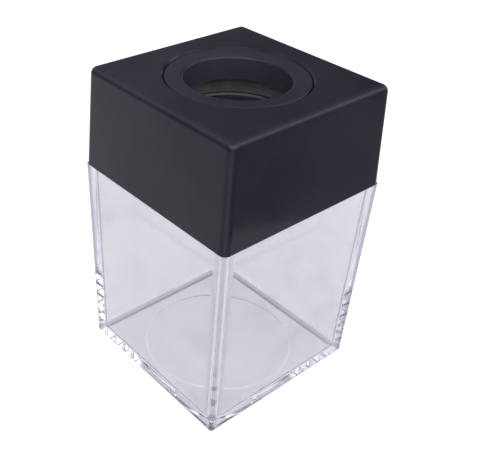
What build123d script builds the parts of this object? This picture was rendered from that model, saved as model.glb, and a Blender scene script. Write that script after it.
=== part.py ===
from build123d import *
import os

# Overall sizes, in millimetres
height = 71.0
width = 45.0
lid_height = 22.5
lid_top_width = 43.0
base_width = 43.4

# Corner radii, which the edges of the roof, the base and the floor share
lid_corner = 1.6
lap_corner = 1.0
box_corner = 0.9
store_corner = 1.6
edge_break = 0.2

# Clear box
box_wall = 2.0
floor_thickness = 1.8
foot_recess_radius = 16.9
foot_recess_depth = 0.3
gate_radius = 1.6
gate_depth = 0.3
gate_nub_radius = 0.5

# Lap joint between the box neck and the lid skirt
neck_height = 4.2
lap_skin = 0.8
lap_clearance = 0.1
rim_clearance = 0.3

# Lid roof and the round well that holds the magnet
lid_wall = 1.7
roof_thickness = 2.0
well_radius = 15.1
well_wall = 1.6
well_draft = 0.2
well_edge = 0.4

# Ring magnet
magnet_clearance = 0.1
magnet_bore_radius = 13.4
magnet_height = 7.7
magnet_chamfer = 0.15

# Ledge under the magnet
ledge_overlap = 0.5
ledge_thickness = 1.8
ledge_bevel_width = 0.3
ledge_bevel_height = 0.45

# Throat bezel
flange_clearance = 0.15
flange_underside = 2.0
flange_rim_depth = 0.5
flange_top_depth = 0.2
flange_bevel = 0.5
lip_depth = 0.4
lip_width = 1.3
lip_drop = 1.3
lip_share = 0.3
throat_top_radius = 10.9
throat_low_radius = 9.9
throat_depth = 5.1
throat_edge = 0.2
bush_wall = 1.5

# Heights that follow from the sizes above
seam_z = height - lid_height
rim_z = seam_z + neck_height
roof_z = height - roof_thickness
magnet_top_z = height - flange_underside
ledge_top_z = magnet_top_z - magnet_height
ledge_low_z = ledge_top_z - ledge_thickness
throat_low_z = height - throat_depth
overrun = 1.0


def lid_width(z):
    """Outside width of the drafted lid at a height."""
    return width + (lid_top_width - width) * (z - seam_z) / lid_height


def box_width(z):
    """Outside width of the drafted box at a height."""
    return base_width + (width - base_width) * z / seam_z


def level_edges(shape, z):
    """The edges that lie flat at a height."""
    return shape.edges().filter_by_position(Axis.Z, z - 0.001, z + 0.001)


def drafted(low_z, low_width, high_z, high_width, corner, round_z=None):
    """A square block with draft on its sides and round corners: two bars of trapezoid section, crossed."""
    low = low_width / 2
    high = high_width / 2
    section = make_face(Polyline((-low, low_z), (low, low_z), (high, high_z), (-high, high_z), close=True))
    bar = extrude(Plane.XZ * section, max(low, high), both=True)
    block = bar & Rot(0, 0, 90) * bar
    edges = block.edges().filter_by(lambda edge: abs((edge @ 0).Z - (edge @ 1).Z) > edge_break)
    if round_z is not None:
        edges += level_edges(block, round_z)
    return fillet(edges, corner)


def turned(*points):
    """A solid turned about Z from a closed outline of straight lines, drawn as (radius, height)."""
    return revolve(Plane.XZ * make_face(Polyline(*points, close=True)), Axis.Z)


def round_edges(shape, z, radius):
    """The circles about Z with a given height and radius."""
    circles = level_edges(shape, z).filter_by(GeomType.CIRCLE)
    return circles.filter_by(lambda edge: abs(edge.radius - radius) < 0.001)


# Lid shell: a drafted cap with a lap rebate inside its skirt
lid = drafted(seam_z, width, height, lid_top_width, lid_corner, round_z=height)
cavity_low_z = seam_z - overrun
cavity = drafted(
    cavity_low_z, lid_width(cavity_low_z) - 2 * lid_wall,
    roof_z, lid_width(roof_z) - 2 * lid_wall, lap_corner,
)
lap_top_z = rim_z + rim_clearance
rebate = drafted(
    cavity_low_z, lid_width(cavity_low_z) - 2 * lap_skin,
    lap_top_z, lid_width(lap_top_z) - 2 * lap_skin, lap_corner,
)
lid = lid - cavity - rebate

# Round well hanging from the roof, with the ledge that the magnet stands on
ledge_radius = magnet_bore_radius - ledge_overlap
well_outside = well_radius + well_wall
roof_middle_z = height - roof_thickness / 2
well_tube = turned(
    (0, roof_middle_z), (0, ledge_low_z), (well_outside - well_draft, ledge_low_z), (well_outside, roof_middle_z),
)
well = turned(
    (0, height + overrun), (0, ledge_low_z - overrun), (ledge_radius, ledge_low_z - overrun),
    (ledge_radius, ledge_top_z - ledge_bevel_height), (ledge_radius + ledge_bevel_width, ledge_top_z),
    (well_radius, ledge_top_z), (well_radius, height + overrun),
)
lid = lid + well_tube - well
lid = chamfer(round_edges(lid, height, well_radius), well_edge)

# Ring magnet: a plain ring with its bore edges broken, standing on the ledge
magnet_radius = well_radius - magnet_clearance
magnet = turned(
    (magnet_bore_radius, ledge_top_z), (magnet_radius, ledge_top_z),
    (magnet_radius, magnet_top_z), (magnet_bore_radius, magnet_top_z),
)
magnet = chamfer(round_edges(magnet, magnet_top_z, magnet_bore_radius), magnet_chamfer)
magnet = chamfer(round_edges(magnet, ledge_top_z, magnet_bore_radius), magnet_chamfer)

# Throat bezel: a flanged funnel, dished towards a lip in two flats, let into the top of the well
flange_radius = well_radius - flange_clearance
lip_z = height - lip_depth
bezel = turned(
    (throat_top_radius, lip_z - lip_drop),
    (throat_low_radius, throat_low_z), (throat_low_radius + bush_wall, throat_low_z),
    (throat_top_radius + bush_wall, magnet_top_z), (flange_radius, magnet_top_z),
    (flange_radius, height - flange_rim_depth), (flange_radius - flange_bevel, height - flange_top_depth),
    (throat_top_radius + lip_width, lip_z),
    (throat_top_radius + lip_width * lip_share, lip_z - lip_drop * lip_share),
)
bezel = chamfer(round_edges(bezel, throat_low_z, throat_low_radius), throat_edge)

# Clear box: drafted walls, a flat floor and a thin neck that enters the lid
lap_offset = lap_skin + lap_clearance
box = drafted(0, base_width, seam_z, width, box_corner, round_z=0)
neck_low_z = seam_z - overrun
neck = drafted(
    neck_low_z, lid_width(neck_low_z) - 2 * lap_offset,
    rim_z, lid_width(rim_z) - 2 * lap_offset, lap_corner,
)
neck = chamfer(level_edges(neck, rim_z), edge_break)
inside_top_z = rim_z + overrun
inside = drafted(
    floor_thickness, box_width(floor_thickness) - 2 * box_wall,
    inside_top_z, box_width(inside_top_z) - 2 * box_wall, store_corner, round_z=floor_thickness,
)
box = box + neck - inside

# Underside: a shallow round recess, with the moulding gate in a dimple at its centre
recess = turned(
    (0, -overrun), (foot_recess_radius, -overrun),
    (foot_recess_radius, foot_recess_depth), (0, foot_recess_depth),
)
gate_top_z = foot_recess_depth + gate_depth
dimple = turned(
    (gate_nub_radius, 0), (gate_radius, 0), (gate_radius, gate_top_z), (gate_nub_radius, gate_top_z),
)
box = box - recess - dimple

# One STEP file for each piece
os.makedirs("parts", exist_ok=True)
export_step(lid, "parts/lid_shell.step")
export_step(magnet, "parts/ring_magnet.step")
export_step(bezel, "parts/throat_bezel.step")
export_step(box, "parts/clear_box.step")
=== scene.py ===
# %% [markdown]
# A magnetic paper clip holder, dressed for its portrait
#
# The packed CAD part is the frame of this scene. Every piece is already in its place, in metres,
# with the origin in the middle of the underside and +Z going up through the throat. This first step
# loads that frame.

# %% Load the packed part
import math

import bmesh
import bpy
from mathutils import Matrix, Vector


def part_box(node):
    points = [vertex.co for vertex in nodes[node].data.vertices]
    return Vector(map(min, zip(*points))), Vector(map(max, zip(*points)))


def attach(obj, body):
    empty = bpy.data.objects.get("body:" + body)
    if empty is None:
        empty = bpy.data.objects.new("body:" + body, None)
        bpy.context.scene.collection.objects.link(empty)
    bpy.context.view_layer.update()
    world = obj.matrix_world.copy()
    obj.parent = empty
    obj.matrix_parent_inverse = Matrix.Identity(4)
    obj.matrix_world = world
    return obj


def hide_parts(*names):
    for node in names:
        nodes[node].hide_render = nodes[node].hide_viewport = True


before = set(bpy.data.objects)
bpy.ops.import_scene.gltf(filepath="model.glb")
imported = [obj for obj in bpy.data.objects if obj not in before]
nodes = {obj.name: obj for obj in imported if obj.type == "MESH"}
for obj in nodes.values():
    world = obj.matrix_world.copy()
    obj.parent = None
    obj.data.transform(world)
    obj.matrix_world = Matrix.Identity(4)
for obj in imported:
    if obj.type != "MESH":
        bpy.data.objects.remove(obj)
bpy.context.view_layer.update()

MM = 0.001
EIGHTH_TURN = math.sqrt(0.5)
print("pieces", sorted(nodes))

# %% [markdown]
# Sums on shader sockets
#
# A procedural material is a small sum: some noise, times a strength, plus a base value. Written as
# nodes, each sign is its own box with two wires. A class that wraps one socket and gives Python's
# operators to it keeps the sum readable, and one method adds every other kind of node.


# %% A socket that can be added and multiplied
class Tone:
    """One output of a node tree, with Python's operators for the sums on it."""

    def __init__(self, tree, socket=None):
        self.tree = tree
        self.socket = socket

    def node(self, kind, settings=None, sockets=None, output=0):
        """Adds a node of any kind, with its settings first and then its sockets' values or links."""
        made = self.tree.nodes.new(kind if "Node" in kind else "ShaderNode" + kind)
        for name, value in (settings or {}).items():
            setattr(made, name, value)
        for name, value in (sockets or {}).items():
            self.feed(made.inputs[name], value)
        return Tone(self.tree, None if output is None else made.outputs[output])

    def feed(self, socket, value):
        """Links a tone to a socket, or sets a plain value on it."""
        if isinstance(value, Tone):
            self.tree.links.new(value.socket, socket)
        else:
            socket.default_value = value

    def sum(self, operation, *values):
        """One Math node."""
        return self.node("Math", {"operation": operation}, dict(enumerate(values)))

    def __add__(self, other):
        return self.sum("ADD", self, other)

    def __radd__(self, other):
        return self.sum("ADD", other, self)

    def __sub__(self, other):
        return self.sum("SUBTRACT", self, other)

    def __rsub__(self, other):
        return self.sum("SUBTRACT", other, self)

    def __mul__(self, other):
        return self.sum("MULTIPLY", self, other)

    def __rmul__(self, other):
        return self.sum("MULTIPLY", other, self)

    def least(self, other):
        return self.sum("MINIMUM", self, other)

    def most(self, other):
        return self.sum("MAXIMUM", self, other)

    def size(self):
        return self.sum("ABSOLUTE", self)

    def rise(self, low, high):
        """0 below low, 1 above high, and a smooth step between them."""
        sockets = {"Value": self, "From Min": low, "From Max": high}
        return self.node("MapRange", {"interpolation_type": "SMOOTHSTEP"}, sockets)

    def fall(self, low, high):
        """1 below low, 0 above high, and a smooth step between them."""
        return 1.0 - self.rise(low, high)

    def blend(self, first, second):
        """A colour between two, with this tone as the share of the second."""
        sockets = {0: self, 6: first, 7: second}
        return self.node("Mix", {"data_type": "RGBA"}, sockets, output=2)

    def part(self, axis):
        """The X, Y or Z of a place or a direction."""
        return self.node("SeparateXYZ", {}, {0: self}, output=axis)

    def radius(self):
        """How far a place is from the Z axis."""
        level = self.node("VectorMath", {"operation": "MULTIPLY"}, {0: self, 1: (1.0, 1.0, 0.0)})
        return self.node("VectorMath", {"operation": "LENGTH"}, {0: level}, output="Value")


def colour(red, green, blue):
    return (red, green, blue, 1.0)


print("a tone knows", [name for name in vars(Tone) if not name.startswith("_")])

# %% [markdown]
# Patterns that the materials share
#
# Plastic and ceramic get the same few kinds of mark: soft drifts of tone, hairline scratches and
# specks. Image textures could hold them, but they would need unwrapped surfaces. Noise in the object's
# own coordinates needs none, keeps a true size in millimetres and rides along when the lid lifts.

# %% Make the pattern helpers
HAIR_STRETCH = (0.06, 2.6, 1.2)
HAIR_HALF_WIDTH = 0.012
HAIR_PATCH = 9.0


def start_material(name):
    """A new material, its shader, and the object's own coordinates in millimetres."""
    material = bpy.data.materials.new(name)
    material.use_nodes = True
    tree = material.node_tree
    shader = tree.nodes["Principled BSDF"]
    place = Tone(tree).node("TexCoord", output="Object")
    in_mm = place.node("VectorMath", {"operation": "SCALE"}, {0: place, "Scale": 1 / MM})
    return material, shader, in_mm


def noise(place, wavelength, detail=2.0, seed=0.0, roughness=0.5):
    """Soft noise whose patches are about one wavelength across, in millimetres."""
    sockets = {"Vector": place, "W": seed, "Scale": 1 / wavelength, "Detail": detail, "Roughness": roughness}
    return place.node("TexNoise", {"noise_dimensions": "4D"}, sockets)


def scratches(place, turn, seed):
    """Fine hairlines in one direction: noise pulled long, and cut off to its thin ridges."""
    turned = place.node("Mapping", {}, {"Vector": place, "Rotation": turn, "Scale": HAIR_STRETCH})
    ridge = (noise(turned, 1.0, 1.0, seed) - 0.5).size()
    patch = noise(place, HAIR_PATCH, 1.0, seed + 3.0).rise(0.52, 0.68)
    return ridge.fall(0.0, HAIR_HALF_WIDTH) * patch


def specks(place, spacing, radius, share, seed):
    """Round specks: a share of the cells of a Voronoi pattern have one at their point."""
    moved = place.node("VectorMath", {"operation": "ADD"}, {0: place, 1: (seed, 2 * seed, 3 * seed)})
    sockets = {"Vector": moved, "Scale": 1 / spacing}
    distance = place.node("TexVoronoi", {}, sockets, output="Distance")
    chance = place.node("TexVoronoi", {}, sockets, output="Color")
    chosen = chance.node("SeparateColor", {}, {"Color": chance}).rise(1 - share, 1 - share + 0.01)
    return distance.fall(radius / spacing * 0.6, radius / spacing) * chosen


print("hairlines come in patches of", HAIR_PATCH, "mm")

# %% [markdown]
# Black moulded plastic
#
# The lid and the bezel are moulded in black polystyrene with a bluish cast. It isn't one flat colour:
# the melt leaves broad drifts of tone, and handling leaves hairlines and a little dust. Roughness
# changes with the drifts, so that reflections are soft and uneven, and a fine bump stands for the skin
# of the mould. One function makes both finishes, with a mask that says where each piece is rubbed
# and painted paler: part of that paler tone is wear, and part is painted light, a painted highlight on
# the lid's edges and a painted lift of the shade inside the throat.

# %% Make a black plastic
DUST = colour(0.22, 0.22, 0.23)
BLACK_IOR = 1.5
BLACK_SPECULAR = 0.15
SKIN_DEPTH = 0.06 * MM


def black_plastic(name, seed, deep, pale, wear_and_painted_shading, wear_and_painted_light_tone):
    """Blue-black polystyrene. The mask function gives what is rubbed duller and painted paler, partly wear
    and partly painted light.
    """
    material, shader, place = start_material(name)
    drift = noise(place, 17.0, 3.0, seed)
    cloud = noise(place, 2.6, 4.0, seed + 1.0, 0.6)
    hairs = scratches(place, (0.0, 0.0, 0.5), seed + 2.0)
    hairs = hairs.most(scratches(place, (0.4, 0.9, 2.1), seed + 5.0))
    dust = specks(place, 5.5, 0.11, 0.07, seed + 7.0)
    rubbed_and_painted_shading = wear_and_painted_shading(place) * (0.5 + cloud * 0.5)
    paint = (drift.rise(0.3, 0.7) * 0.7 + cloud * 0.3).blend(deep, pale)
    # The rubbed mask paints the tone paler: partly wear, partly painted light on the lid's edges and in the
    # throat.
    paint = (rubbed_and_painted_shading * 0.7).blend(paint, wear_and_painted_light_tone)
    paint = dust.blend(paint, DUST)
    place.feed(shader.inputs["Base Color"], paint)
    gloss = 0.07 + drift * 0.04 + cloud * 0.05 + hairs * 0.12 + dust * 0.3 + rubbed_and_painted_shading * 0.3
    place.feed(shader.inputs["Roughness"], gloss)
    skin = noise(place, 0.9, 2.0, seed + 4.0) * 0.5 + noise(place, 0.12, 1.0, seed + 6.0) * 0.12
    height = skin - hairs * 0.25 + dust * 1.5
    bump = place.node("Bump", {}, {"Strength": 0.12, "Distance": SKIN_DEPTH, "Height": height})
    place.feed(shader.inputs["Normal"], bump)
    shader.inputs["IOR"].default_value = BLACK_IOR
    shader.inputs["Specular IOR Level"].default_value = BLACK_SPECULAR
    return material


print("black plastic reflects with IOR", BLACK_IOR)

# %% [markdown]
# Where the black pieces are rubbed and painted paler
#
# Hands rub the lid along its outer edges, and clips scrape the bezel inside the throat. The paler tone
# there is partly that wear and partly painted light: a painted highlight along the lid's edges, and a
# painted lift of the shade inside the throat. A mask could be painted by hand, but distance says it
# better: on the lid it is the distance to the nearest edge of the tapered block, and on the bezel the
# distance from the axis.

# %% Make the lid's and the bezel's black
LID_DEEP = colour(0.0052, 0.0047, 0.0086)
LID_PALE = colour(0.0115, 0.0108, 0.0165)
# Paler tone on the lid's edges: partly wear, partly a painted highlight along the edges.
LID_WORN_AND_HIGHLIGHT = colour(0.0370, 0.0360, 0.0430)
LID_EDGE_FADE = (0.15, 1.0)
BEZEL_DEEP = colour(0.0085, 0.0079, 0.0128)
BEZEL_PALE = colour(0.0155, 0.0147, 0.0210)
# Paler tone inside the throat: partly wear from clips, partly painted light that lifts the throat's shade.
BEZEL_WORN_AND_PAINTED_LIGHT = colour(0.0235, 0.0220, 0.0285)
THROAT_FADE = (10.9, 11.2)

lid_low, lid_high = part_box("lid_shell")
LID_HALF = lid_high.x / MM
LID_HALF_TOP = 21.5
LID_SEAM_Z = lid_low.z / MM
LID_TOP_Z = lid_high.z / MM


def lid_edges(place):
    """1 on the lid's outer edges, fading to 0 within about a millimetre of them."""
    z = place.part("Z")
    draft = (LID_HALF - LID_HALF_TOP) / (LID_TOP_Z - LID_SEAM_Z)
    half = LID_HALF - (z - LID_SEAM_Z) * draft
    side_x = half - place.part("X").size()
    side_y = half - place.part("Y").size()
    top = LID_TOP_Z - z
    edge = side_x.most(side_y).least(side_x.most(top)).least(side_y.most(top))
    return edge.fall(*LID_EDGE_FADE)


def throat_wall(place):
    """1 inside the throat, where clips scrape past and painted light lifts the shade, fading to 0 on the
    flange.
    """
    return place.radius().fall(*THROAT_FADE)


lid_black = black_plastic("lid_black", 1.0, LID_DEEP, LID_PALE, lid_edges, LID_WORN_AND_HIGHLIGHT)
bezel_black = black_plastic("bezel_black", 21.0, BEZEL_DEEP, BEZEL_PALE, throat_wall, BEZEL_WORN_AND_PAINTED_LIGHT)
print("black plastic nodes", len(lid_black.node_tree.nodes), len(bezel_black.node_tree.nodes))

# %% [markdown]
# Where the clear box is worn and painted darker
#
# The clear box shows its age on its edges: the uprights are rubbed, and the lower corners, all but the
# right-hand one, are chipped in small steps. The uprights are also painted a darker grey as painted
# shade, the side corners are a dark grey, and the foot is painted dark as painted shade where it stands
# on the floor. Inside, the lines round the floor and the uprights are duller than the flat walls,
# because a mould is hard to polish there. All of it follows from how far a place is from the outer
# skin, the floor and the corners.

# %% Find the clear box's edges
box_low, box_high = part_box("clear_box")
BOX_HALF_FOOT = 21.7
BOX_HALF_SEAM = box_high.x / MM
BOX_FLOOR_Z = 1.8
BOX_WALL = 2.0
RECESS_RADIUS = 16.9
UPRIGHT_FADE = (1.4, 2.8)
SIDE_FADE = (26.0, 36.0)
FOOT_FADE = (0.7, 1.6)
FOOT_END_FADE = (0.5, 3.0)
CHIP_EDGE_FADE = (0.6, 1.2)
CHIP_HEIGHT_FADE = (14.0, 22.0)
CHIP_RIGHT_FADE = (14.0, 30.0)
CHIP_LENGTH = 1.3
CHIP_LAYERS = (0.1, 0.1, 1.0)
INSIDE_FADE = (-0.1, 0.0)
FLOOR_LINE_FADE = (1.0, 1.8)
INNER_UPRIGHT_FADE = (3.0, 3.9)
FOOT_CORNER_FADE = (1.0, 2.0)
FOOT_CORNER_HEIGHT_FADE = (1.5, 3.5)
RECESS_LINE_FADE = (0.1, 0.3)
RECESS_HEIGHT_FADE = (0.4, 0.6)


def box_wear(place):
    """Masks of the clear box: rubbed uprights with painted shade, dark side corners and a foot with painted
    shade, chips, floor lines and dull inner edges.
    """
    x = place.part("X")
    y = place.part("Y")
    z = place.part("Z")
    half = BOX_HALF_FOOT + z * ((BOX_HALF_SEAM - BOX_HALF_FOOT) / LID_SEAM_Z)
    side_x = half - x.size()
    side_y = half - y.size()
    corner = side_x.most(side_y)
    skin = side_x.least(side_y)
    upright = corner.fall(*UPRIGHT_FADE)
    foot = z.fall(*FOOT_FADE) * skin.fall(*FOOT_FADE) * corner.rise(*FOOT_END_FADE)
    # This mask darkens the side corners and the foot: wear, and painted shade at the foot.
    wear_and_painted_shading = (upright * (x - y).size().rise(*SIDE_FADE)).most(foot)
    layers = place.node("Mapping", {}, {"Vector": place, "Scale": CHIP_LAYERS})
    low_edge = corner.fall(*CHIP_EDGE_FADE) * z.fall(*CHIP_HEIGHT_FADE) * (x - y).fall(*CHIP_RIGHT_FADE)
    chips = noise(layers, CHIP_LENGTH, 2.0, 3.0).rise(0.46, 0.54) * low_edge
    depth = skin - BOX_WALL
    above = z - BOX_FLOOR_Z
    inside = depth.rise(*INSIDE_FADE) * above.rise(*INSIDE_FADE)
    floor_line = inside * (depth.fall(*FLOOR_LINE_FADE) * above.fall(*FLOOR_LINE_FADE))
    inner_upright = inside * corner.fall(*INNER_UPRIGHT_FADE)
    foot_corner = corner.fall(*FOOT_CORNER_FADE) * z.fall(*FOOT_CORNER_HEIGHT_FADE)
    return upright, wear_and_painted_shading, chips, floor_line, floor_line.most(inner_upright).most(foot_corner)


def recess_glint_line(place):
    """1 on the underside along the edge of the round recess, where the painted highlight line goes."""
    line = (place.radius() - RECESS_RADIUS).size().fall(*RECESS_LINE_FADE)
    return line * place.part("Z").fall(*RECESS_HEIGHT_FADE)


print("clear box half widths in mm", BOX_HALF_FOOT, round(BOX_HALF_SEAM, 2))

# %% [markdown]
# Clear polystyrene
#
# The box is clear, so its look is the light that goes through it. Transmission with polystyrene's
# index of refraction, 1.59, bends the far edges and the floor's round recess as the real wall does.
# A grey-violet cast in each surface adds up over the walls, and an absorbing volume darkens the long
# paths along the edges. Finger marks show as smoky patches that are a little rougher. The uprights, the
# side corners and the foot are painted darker, partly as wear and partly as painted shade. The lines
# round the floor are dull, and painted paler as painted light, and the edge of the recess is painted
# fully clear as a painted highlight line.

# %% Make the clear plastic
CLEAR_CAST = colour(0.740, 0.735, 0.761)
CLEAR_SMUDGED = colour(0.640, 0.634, 0.668)
# Darker grey on the uprights: partly rubbing, partly painted shade.
CLEAR_SCUFFED_AND_SHADE = colour(0.700, 0.690, 0.735)
# Dark grey on the side corners and the foot, painted shade at the foot where it stands on the floor.
CLEAR_WORN_AND_SHADE = colour(0.220, 0.212, 0.250)
# Paler tint on the lines round the floor: painted light that lifts their shading.
CLEAR_HAZED_AND_PAINTED_LIGHT = colour(0.850, 0.835, 0.890)
CLEAR_CHIPPED = colour(0.200, 0.195, 0.215)
# Fully clear line at the recess edge: a painted highlight.
CLEAR_PAINTED_GLINT = colour(1.0, 1.0, 1.0)
CLEAR_DEEP = colour(0.62, 0.59, 0.73)
CLEAR_DENSITY = 7.0
CLEAR_IOR = 1.59


def clear_plastic(name, seed):
    """Clear polystyrene that is smudged, rubbed and painted darker as painted shade at its edges, and chipped
    at its lower corners.
    """
    material, shader, place = start_material(name)
    smear = noise(place, 12.0, 4.0, seed, 0.6).rise(0.5, 0.75)
    hairs = scratches(place, (0.2, 0.3, 0.2), seed + 2.0)
    dust = specks(place, 4.0, 0.1, 0.08, seed + 7.0)
    rubbed_and_painted_shading, wear_and_painted_shading, chips, floor_line, dull = box_wear(place)
    paint = (smear * 0.9).blend(CLEAR_CAST, CLEAR_SMUDGED)
    # Uprights, side corners and foot painted darker: partly wear, partly painted shade.
    paint = rubbed_and_painted_shading.blend(paint, CLEAR_SCUFFED_AND_SHADE)
    paint = wear_and_painted_shading.blend(paint, CLEAR_WORN_AND_SHADE)
    # Lines round the floor painted paler: painted light.
    paint = floor_line.blend(paint, CLEAR_HAZED_AND_PAINTED_LIGHT)
    paint = chips.blend(paint, CLEAR_CHIPPED)
    # Recess edge painted clear: a painted highlight line.
    paint = recess_glint_line(place).blend(paint, CLEAR_PAINTED_GLINT)
    place.feed(shader.inputs["Base Color"], paint)
    gloss = 0.012 + smear * 0.03 + hairs * 0.12 + dust * 0.3 + chips * 0.2 + dull * 0.3
    place.feed(shader.inputs["Roughness"], gloss)
    sway = noise(place, 14.0, 1.0, seed + 4.0) * 3.0 - hairs * 0.1 + dust * 0.4
    bump = place.node("Bump", {}, {"Strength": 0.1, "Distance": SKIN_DEPTH, "Height": sway})
    place.feed(shader.inputs["Normal"], bump)
    shader.inputs["Transmission Weight"].default_value = 1.0
    shader.inputs["IOR"].default_value = CLEAR_IOR
    depth = place.node("VolumeAbsorption", {}, {"Color": CLEAR_DEEP, "Density": CLEAR_DENSITY})
    place.feed(material.node_tree.nodes["Material Output"].inputs["Volume"], depth)
    return material


clear_wall = clear_plastic("clear_wall", 40.0)
print("clear plastic nodes", len(clear_wall.node_tree.nodes))

# %% [markdown]
# Sintered ferrite
#
# The ring magnet is a ceramic: pressed powder, fired hard. It is a neutral dark grey with a mottle of
# grains, small pits and no gloss to speak of. Two sizes of noise make the mottle and the grain, and the
# same grain lifts the surface a little, so that the light breaks up on it.

# %% Make the ferrite
FERRITE_DARK = colour(0.026, 0.026, 0.028)
FERRITE_PALE = colour(0.061, 0.060, 0.059)
GRAIN_DEPTH = 0.08 * MM


def ferrite(name, seed):
    """Matt grey ceramic with grains and pits."""
    material, shader, place = start_material(name)
    grain = noise(place, 0.35, 3.0, seed, 0.65)
    mottle = noise(place, 3.2, 3.0, seed + 1.0)
    pits = specks(place, 1.6, 0.28, 0.25, seed + 2.0)
    paint = (mottle.rise(0.3, 0.7) * 0.6 + grain * 0.4).blend(FERRITE_DARK, FERRITE_PALE)
    paint = (pits * 0.7).blend(paint, FERRITE_DARK)
    place.feed(shader.inputs["Base Color"], paint)
    place.feed(shader.inputs["Roughness"], 0.5 + grain * 0.2)
    bump = place.node("Bump", {}, {"Strength": 0.35, "Distance": GRAIN_DEPTH, "Height": grain - pits * 0.8})
    place.feed(shader.inputs["Normal"], bump)
    return material


magnet_grey = ferrite("magnet_grey", 60.0)
print("ferrite nodes", len(magnet_grey.node_tree.nodes))

# %% [markdown]
# Finishes on the CAD pieces
#
# The lid, the clear box and the magnet have their true shapes in the CAD part, so nothing is modelled
# again for them. Each only swaps its plain material for the finish made above. The faces stay as they
# are, and so the pieces still fit each other.


# %% Give the CAD pieces their finishes
def wear(node_name, material):
    """Puts one material on every slot of a CAD piece."""
    mesh = nodes[node_name].data
    mesh.materials.clear()
    mesh.materials.append(material)


wear("lid_shell", lid_black)
wear("clear_box", clear_wall)
wear("ring_magnet", magnet_grey)
for name in ("lid_shell", "clear_box", "ring_magnet"):
    print(name, len(nodes[name].data.polygons), "faces, finish", nodes[name].data.materials[0].name)

# %% [markdown]
# The throat bezel
#
# The bezel is a turned form: one outline swept round the throat. On the real holder it is a moulded
# bush with a flange that hides the magnet. A node group makes it from straight lines and point arcs,
# which a circle carries round, so each size stays a named input that can be changed later. The lip, the
# shoulder and the foot of the throat are arcs, and each catches its own thin line of light; the top of
# the flange between them is straight and dips towards the lip. The outer sizes come from the packed
# bezel, so the two always agree.

# %% List the bezel's sizes
bezel_low, bezel_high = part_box("throat_bezel")
bezel_sizes = {
    "Throat Radius": 10.9 * MM,
    "Throat Foot Radius": 9.9 * MM,
    "Lip Width": 0.8 * MM,
    "Lip Drop": 0.8 * MM,
    "Lip Depth": 0.12 * MM,
    "Crown Radius": 14.45 * MM,
    "Shoulder Drop": 0.3 * MM,
    "Shoulder Bulge": 0.08 * MM,
    "Flange Height": 1.8 * MM,
    "Bush Radius": 12.4 * MM,
    "Bush Foot Radius": 11.4 * MM,
    "Foot Edge": 0.2 * MM,
    "Rim Radius": bezel_high.x,
    "Top Height": bezel_high.z,
    "Foot Height": bezel_low.z,
}
ROUND_STEPS = 180
ARC_STEPS = 9
WELD_DISTANCE = 0.002 * MM
SHARP_ANGLE = math.radians(32)
print("bezel inputs", len(bezel_sizes))


# %% Turn the bezel with Geometry Nodes
def bezel_group(names):
    """A node group that turns the bezel's outline round Z, with a named input for each size."""
    group = bpy.data.node_groups.new("turned_bezel", "GeometryNodeTree")
    for name in names:
        group.interface.new_socket(name, in_out="INPUT", socket_type="NodeSocketFloat")
    group.interface.new_socket("Finish", in_out="INPUT", socket_type="NodeSocketMaterial")
    group.interface.new_socket("Bezel", in_out="OUTPUT", socket_type="NodeSocketGeometry")
    start = Tone(group)

    def size(name):
        return start.node("NodeGroupInput", output=name)

    def point(radius, z):
        return start.node("CombineXYZ", {}, {"X": radius - size("Throat Radius"), "Y": 0.0 - z})

    def line(first, last):
        return start.node("GeometryNodeCurvePrimitiveLine", {}, {"Start": first, "End": last})

    def arc(first, middle, last):
        sockets = {"Resolution": ARC_STEPS, "Start": first, "Middle": middle, "End": last}
        return start.node("GeometryNodeCurveArc", {"mode": "POINTS"}, sockets)

    throat, throat_foot = size("Throat Radius"), size("Throat Foot Radius")
    top, foot, edge = size("Top Height"), size("Foot Height"), size("Foot Edge")
    crown, rim, bush = size("Crown Radius"), size("Rim Radius"), size("Bush Radius")
    lip_width, lip_drop, bulge = size("Lip Width"), size("Lip Drop"), size("Shoulder Bulge")
    lip_z = top - size("Lip Depth")
    lip_inner_z = lip_z - lip_drop
    lip_top_radius = throat + lip_width
    rim_z = top - size("Shoulder Drop")
    flange_z = top - size("Flange Height")

    lip_start = point(throat, lip_inner_z)
    lip_middle = point(lip_top_radius - lip_width * EIGHTH_TURN, lip_inner_z + lip_drop * EIGHTH_TURN)
    lip_end = point(lip_top_radius, lip_z)
    crown_end = point(crown, top)
    shoulder_middle = point((crown + rim) * 0.5 + bulge * 0.5, (top + rim_z) * 0.5 + bulge)
    rim_top = point(rim, rim_z)
    rim_low = point(rim, flange_z)
    bush_top = point(bush, flange_z)
    bush_low = point(size("Bush Foot Radius"), foot)
    foot_start = point(throat_foot + edge, foot)
    foot_middle = point(throat_foot + edge * (1 - EIGHTH_TURN), foot + edge * (1 - EIGHTH_TURN))
    foot_end = point(throat_foot, foot + edge)
    outline = [
        arc(lip_start, lip_middle, lip_end), line(lip_end, crown_end),
        arc(crown_end, shoulder_middle, rim_top), line(rim_top, rim_low), line(rim_low, bush_top),
        line(bush_top, bush_low), line(bush_low, foot_start), arc(foot_start, foot_middle, foot_end),
        line(foot_end, lip_start),
    ]
    joined = start.node("GeometryNodeJoinGeometry")
    for curve in outline:
        start.feed(joined.socket.node.inputs["Geometry"], curve)
    circle = start.node("GeometryNodeCurvePrimitiveCircle", {}, {"Resolution": ROUND_STEPS, "Radius": throat})
    swept = start.node("GeometryNodeCurveToMesh", {}, {"Curve": circle, "Profile Curve": joined})
    welded = start.node("GeometryNodeMergeByDistance", {}, {"Geometry": swept, "Distance": WELD_DISTANCE})
    smooth = start.node("GeometryNodeSetShadeSmooth", {}, {"Geometry": welded})
    real = start.node("GeometryNodeRealizeInstances", {}, {"Geometry": smooth})
    finished = start.node("GeometryNodeSetMaterial", {}, {"Geometry": real, "Material": size("Finish")})
    start.node("NodeGroupOutput", {}, {"Bezel": finished}, output=None)
    return group


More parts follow.
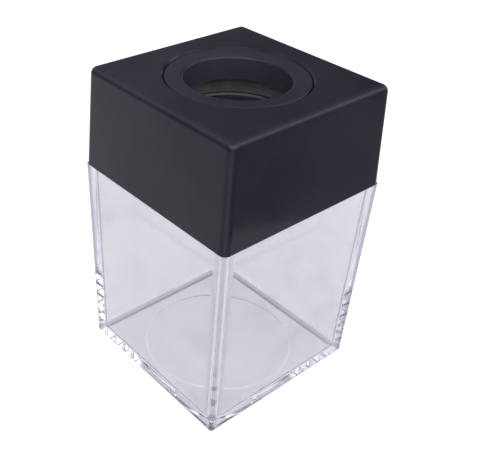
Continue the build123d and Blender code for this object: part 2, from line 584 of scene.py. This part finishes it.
turned_bezel = bezel_group(bezel_sizes)
print("bezel group nodes", len(turned_bezel.nodes))

# %% [markdown]
# From node group to plain mesh
#
# A modifier could stay on the piece, but a plain mesh is what other programs can use. The evaluated
# shape becomes the piece's own mesh, the modifier goes, and the faces are turned outward. Edges that
# are sharper than the arcs stay crisp, and the arcs shade smooth.


# %% Bake the bezel and seat it on the lid
def baked_piece(name, group, values):
    """A plain mesh piece from a node group, with its inputs set by name and its faces turned outward."""
    piece = bpy.data.objects.new(name, bpy.data.meshes.new(name))
    bpy.context.scene.collection.objects.link(piece)
    modifier = piece.modifiers.new("shape", "NODES")
    modifier.node_group = group
    for item in group.interface.items_tree:
        if item.in_out == "INPUT":
            modifier[item.identifier] = values[item.name]
    evaluated = piece.evaluated_get(bpy.context.evaluated_depsgraph_get())
    mesh = bpy.data.meshes.new_from_object(evaluated)
    piece.modifiers.remove(modifier)
    piece.data = mesh
    shell = bmesh.new()
    shell.from_mesh(mesh)
    bmesh.ops.recalc_face_normals(shell, faces=shell.faces)
    shell.to_mesh(mesh)
    shell.free()
    mesh.set_sharp_from_angle(angle=SHARP_ANGLE)
    return piece


bezel = baked_piece("bezel", turned_bezel, {**bezel_sizes, "Finish": bezel_black})
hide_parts("throat_bezel")
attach(bezel, "lid")
print("bezel", len(bezel.data.polygons), "faces, finish", bezel.data.materials[0].name)

# %% [markdown]
# The floor
#
# The holder stands on a plain pale sheet that glows evenly, like a light table. That gives the white
# ground of a catalogue picture without hard shadows, and it lights the clear box from below. The
# sheet's right edge lies just outside the picture, where the lid's right face mirrors it as a slanting
# line between a pale band and a dark one. The sheet lies a hair below the underside, so that the two
# don't fight.

# %% Lay the floor
FLOOR_GAP = 0.05 * MM
FLOOR_GLOW = colour(1.00, 0.99, 1.04)
FLOOR_PALE = colour(0.12, 0.12, 0.12)

# The floor's edges in metres, seen from the camera, and how fast the right one spreads with distance
FLOOR_NEAR = -0.20
FLOOR_FAR = 0.60
FLOOR_LEFT = -0.60
FLOOR_RIGHT = 0.104
FLOOR_SPREAD = 0.343


def floor_corner(along, across):
    """A corner of the floor, from its place along the view and across it."""
    return ((along + across) * EIGHTH_TURN, (along - across) * EIGHTH_TURN, -FLOOR_GAP)


def floor_right(along):
    """Where the floor's right edge is: it keeps just outside the picture."""
    return FLOOR_RIGHT + along * FLOOR_SPREAD


corners = [
    floor_corner(FLOOR_NEAR, FLOOR_LEFT), floor_corner(FLOOR_NEAR, floor_right(FLOOR_NEAR)),
    floor_corner(FLOOR_FAR, floor_right(FLOOR_FAR)), floor_corner(FLOOR_FAR, FLOOR_LEFT),
]
floor_mesh = bpy.data.meshes.new("floor")
floor_mesh.from_pydata(corners, [], [(0, 1, 2, 3)])
floor = bpy.data.objects.new("floor", floor_mesh)
bpy.context.scene.collection.objects.link(floor)
floor_white = bpy.data.materials.new("floor_white")
floor_white.use_nodes = True
floor_shader = floor_white.node_tree.nodes["Principled BSDF"]
floor_shader.inputs["Emission Color"].default_value = FLOOR_GLOW
floor_shader.inputs["Emission Strength"].default_value = 1.0
floor_shader.inputs["Base Color"].default_value = FLOOR_PALE
floor_shader.inputs["Roughness"].default_value = 0.9
floor_shader.inputs["Specular IOR Level"].default_value = 0.1
floor_mesh.materials.append(floor_white)
print("floor", round(FLOOR_FAR - FLOOR_NEAR, 2), "m deep")

# %% [markdown]
# The sky
#
# The rest of the studio is a soft sky. It is dim behind the holder, because the lid's top mirrors that
# part and has to stay black. It is bright in front, where it draws the thin highlights round the throat
# and along the edges, and a window at the right lights the clear corners. Below the horizon, past the
# edge of the floor, it is one pale grey. A picture of a real studio could do this too, but a few smooth
# steps of direction need no image file and each step has a name.

# %% Make the sky
SKY_CAST = colour(0.99, 0.98, 1.06)
SKY_AROUND = 0.50
SKY_HORIZON = 0.12
SKY_BACK = 0.34
SKY_LEAN = 0.45
SKY_SIDE = 0.70
SKY_FRONT = 4.40
SKY_WINDOW = 2.00
SKY_HIGH = 1.20

# Where each part starts and ends, as sines: upward is 0 at the horizon and 1 overhead
BACK_RISE = (0.2, 0.6)
BACK_TURN = (0.5, 0.95)
FRONT_TURN = (-0.5, 0.4)
FRONT_FOOT = (0.35, 0.5)
FRONT_TOP = (0.82, 0.95)
LEFT_TURN = (0.55, 0.8)
WINDOW_TURN = (0.45, 0.75)
WINDOW_FOOT = (0.36, 0.42)
WINDOW_TOP = (0.58, 0.64)
HIGH_RISE = (0.62, 0.91)
AROUND_RISE = (-0.02, 0.2)

world = bpy.data.worlds.new("studio")
bpy.context.scene.world = world
world.use_nodes = True
sky = world.node_tree.nodes["Background"]
sky.inputs["Color"].default_value = SKY_CAST
direction = Tone(world.node_tree).node("TexCoord", output="Generated")
upward = direction.part("Z")
forward = (direction.part("X") + direction.part("Y")) * EIGHTH_TURN
rightward = (direction.part("X") - direction.part("Y")) * EIGHTH_TURN
backward = 0.0 - forward
leftward = 0.0 - rightward
back_sky = SKY_HORIZON + upward.rise(*BACK_RISE) * (SKY_BACK - SKY_HORIZON) - rightward * SKY_LEAN
low_sky = SKY_SIDE + forward.rise(*BACK_TURN) * (back_sky - SKY_SIDE)
front_band = backward.rise(*FRONT_TURN) * upward.rise(*FRONT_FOOT) * upward.fall(*FRONT_TOP)
low_sky = low_sky + front_band * leftward.fall(*LEFT_TURN) * (SKY_FRONT - SKY_SIDE)
window = rightward.rise(*WINDOW_TURN) * upward.rise(*WINDOW_FOOT) * upward.fall(*WINDOW_TOP)
low_sky = low_sky.most(SKY_HORIZON).most(window * SKY_WINDOW)
brightness = low_sky + upward.rise(*HIGH_RISE) * (SKY_HIGH - low_sky)
brightness = SKY_AROUND + upward.rise(*AROUND_RISE) * (brightness - SKY_AROUND)
upward.feed(sky.inputs["Strength"], brightness)
print("sky from", SKY_BACK, "at the back to", SKY_FRONT, "in front")

# %% [markdown]
# The softbox
#
# One large softbox stands in front and above, as a photographer would place it. It gives the matt parts
# a soft light from one side. Light in clear plastic bounces many times between the walls before it
# comes out, so the limits on bounces are raised; with fewer, the edges of the box would turn black.

# %% Light the studio
LIGHT_BOUNCES = 32
SOFTBOX_PLACE = Vector((-0.21, -0.27, 0.49))
SOFTBOX_AIM = Vector((0.0, 0.0, 0.06))
SOFTBOX_SIDE = 0.5
SOFTBOX_POWER = 0.8

light = bpy.data.lights.new("front_softbox", "AREA")
light.shape = "SQUARE"
light.size = SOFTBOX_SIDE
light.energy = SOFTBOX_POWER
softbox = bpy.data.objects.new("front_softbox", light)
softbox.location = SOFTBOX_PLACE
softbox.rotation_euler = (SOFTBOX_AIM - SOFTBOX_PLACE).to_track_quat("-Z", "Y").to_euler()
bpy.context.scene.collection.objects.link(softbox)
bpy.context.scene.view_settings.view_transform = "Standard"
bpy.context.scene.cycles.max_bounces = LIGHT_BOUNCES
bpy.context.scene.cycles.glossy_bounces = LIGHT_BOUNCES
bpy.context.scene.cycles.transmission_bounces = LIGHT_BOUNCES
print("softbox", SOFTBOX_SIDE, "m wide,", round(SOFTBOX_PLACE.length, 2), "m away")

# %% [markdown]
# The camera
#
# The photograph was taken close up, so its perspective is strong. The camera stands where the corners
# of the lid and the box line up with those in the picture. The picture was cropped off centre, which
# is a sideways lens shift here.

# %% Place the camera
IMAGE_WIDTH = 477.0
FOCAL_PIXELS = 757.7
AXIS_PIXEL_X = 177.5
CAMERA_PLACE = Vector((-0.10128, -0.10106, 0.13069))
CAMERA_AIM = Vector((-0.00992, 0.00550, 0.03478))
CAMERA_ROLL = math.radians(1.88)

lens = bpy.data.cameras.new("camera")
lens.sensor_fit = "HORIZONTAL"
lens.lens = FOCAL_PIXELS / IMAGE_WIDTH * lens.sensor_width
lens.shift_x = (IMAGE_WIDTH / 2 - AXIS_PIXEL_X) / IMAGE_WIDTH
lens.clip_start = 0.01
camera = bpy.data.objects.new("camera", lens)
facing = (CAMERA_AIM - CAMERA_PLACE).to_track_quat("-Z", "Y").to_matrix().to_4x4()
camera.matrix_world = Matrix.Translation(CAMERA_PLACE) @ facing @ Matrix.Rotation(CAMERA_ROLL, 4, "Z")
bpy.context.scene.collection.objects.link(camera)
bpy.context.scene.camera = camera
print("lens", round(lens.lens, 1), "mm, shift", round(lens.shift_x, 3))

# %% [markdown]
# The looks must not change the part's size.
